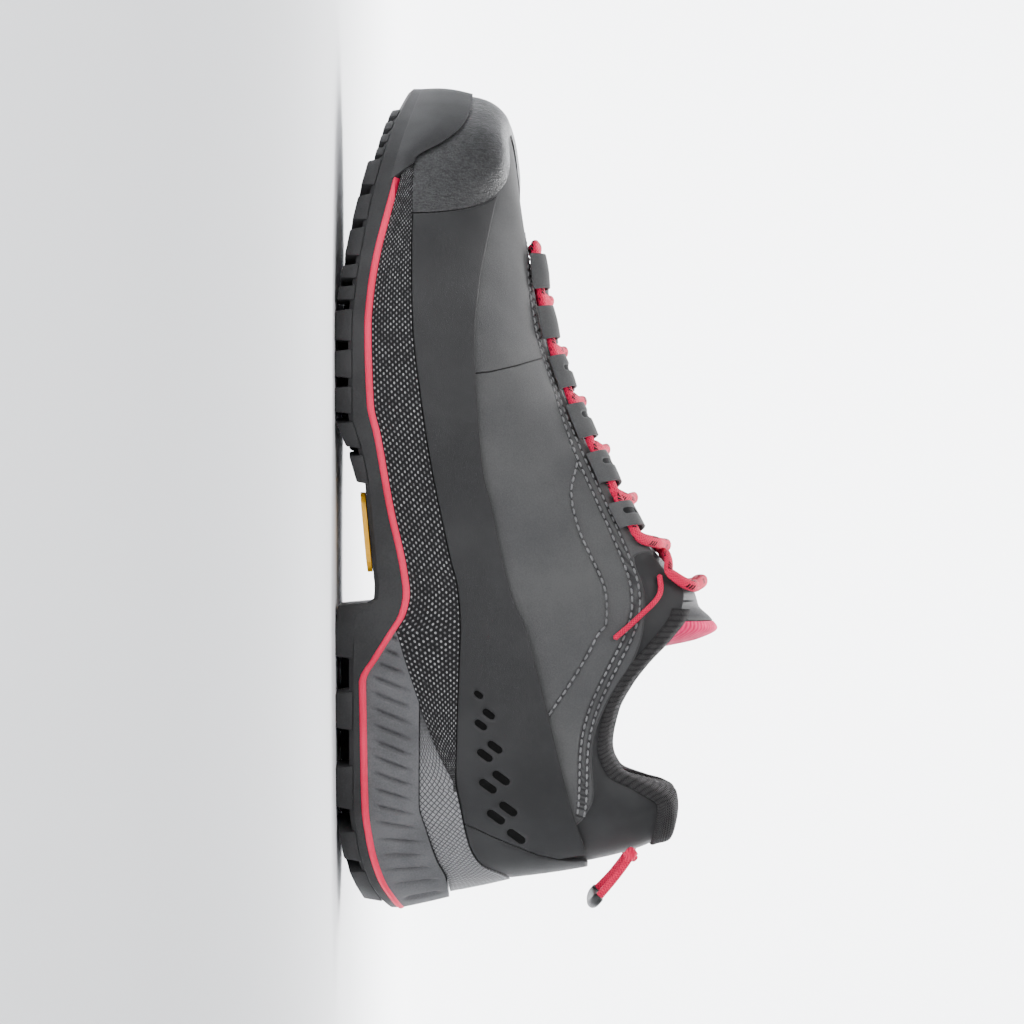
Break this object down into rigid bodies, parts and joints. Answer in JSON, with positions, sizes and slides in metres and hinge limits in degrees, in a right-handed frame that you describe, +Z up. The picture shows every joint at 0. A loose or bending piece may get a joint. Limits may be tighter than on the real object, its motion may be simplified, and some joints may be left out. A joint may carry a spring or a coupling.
{
  "type": "approach shoe",
  "caption": "Low approach shoe for the left foot, with a hollow nubuck upper, padded collar, long lacing, toe cap and lugged sole.",
  "frame": {"origin": "on the ground under the heel, in the middle of the rear stud of the heel", "axes": "+X toward the toe, +Y toward the outer (lateral) side, +Z up"},
  "size_m": [0.2717, 0.0995, 0.125],
  "materials": {
    "nubuck": "napped nubuck, dull",
    "rand_leather": "smooth coated leather, satin",
    "outsole_rubber": "matt moulded rubber",
    "cap_rubber": "finely grained rubber",
    "stripe_foam": "moulded foam, matt",
    "sidewall_fabric": "knitted cover with pale flecks",
    "wedge_foam": "grooved foam, matt",
    "stabiliser_shell": "finely hatched plastic",
    "inlay_plastic": "smooth plastic",
    "collar_knit": "padded spacer knit",
    "tongue_mesh": "woven mesh with a smooth patch",
    "binding_cloth": "stitched edge binding",
    "lace_cord": "braided cord with dark flecks",
    "insole_cloth": "woven cloth with coloured patches",
    "sleeve_plastic": "soft tube, satin"
  },
  "bodies": {
    "root": {"upper": "nubuck", "outsole": "outsole_rubber", "sole_stripe": "stripe_foam", "midsole": "sidewall_fabric", "heel_wedge": "wedge_foam", "heel_stabiliser": "stabiliser_shell", "arch_inlay": "inlay_plastic", "toe_cap": "cap_rubber", "rand_lateral": "rand_leather", "rand_medial": "rand_leather", "heel_counter": "rand_leather", "insole": "insole_cloth", "collar": "collar_knit", "tongue": "tongue_mesh", "tongue_binding": "binding_cloth", "lace": "lace_cord", "eyelet_cord_lateral": "lace_cord", "eyelet_cord_medial": "lace_cord", "pull_loop_lateral": "lace_cord", "pull_loop_medial": "lace_cord", "pull_loop_sleeve": "sleeve_plastic", "lace_loop_lateral_1": "nubuck", "lace_loop_medial_1": "nubuck", "lace_loop_lateral_2": "nubuck", "lace_loop_medial_2": "nubuck", "lace_loop_lateral_3": "nubuck", "lace_loop_medial_3": "nubuck", "lace_loop_lateral_4": "nubuck", "lace_loop_medial_4": "nubuck", "lace_loop_lateral_5": "nubuck", "lace_loop_medial_5": "nubuck", "lace_loop_lateral_6": "nubuck", "lace_loop_medial_6": "nubuck"}
  },
  "joints": []
}
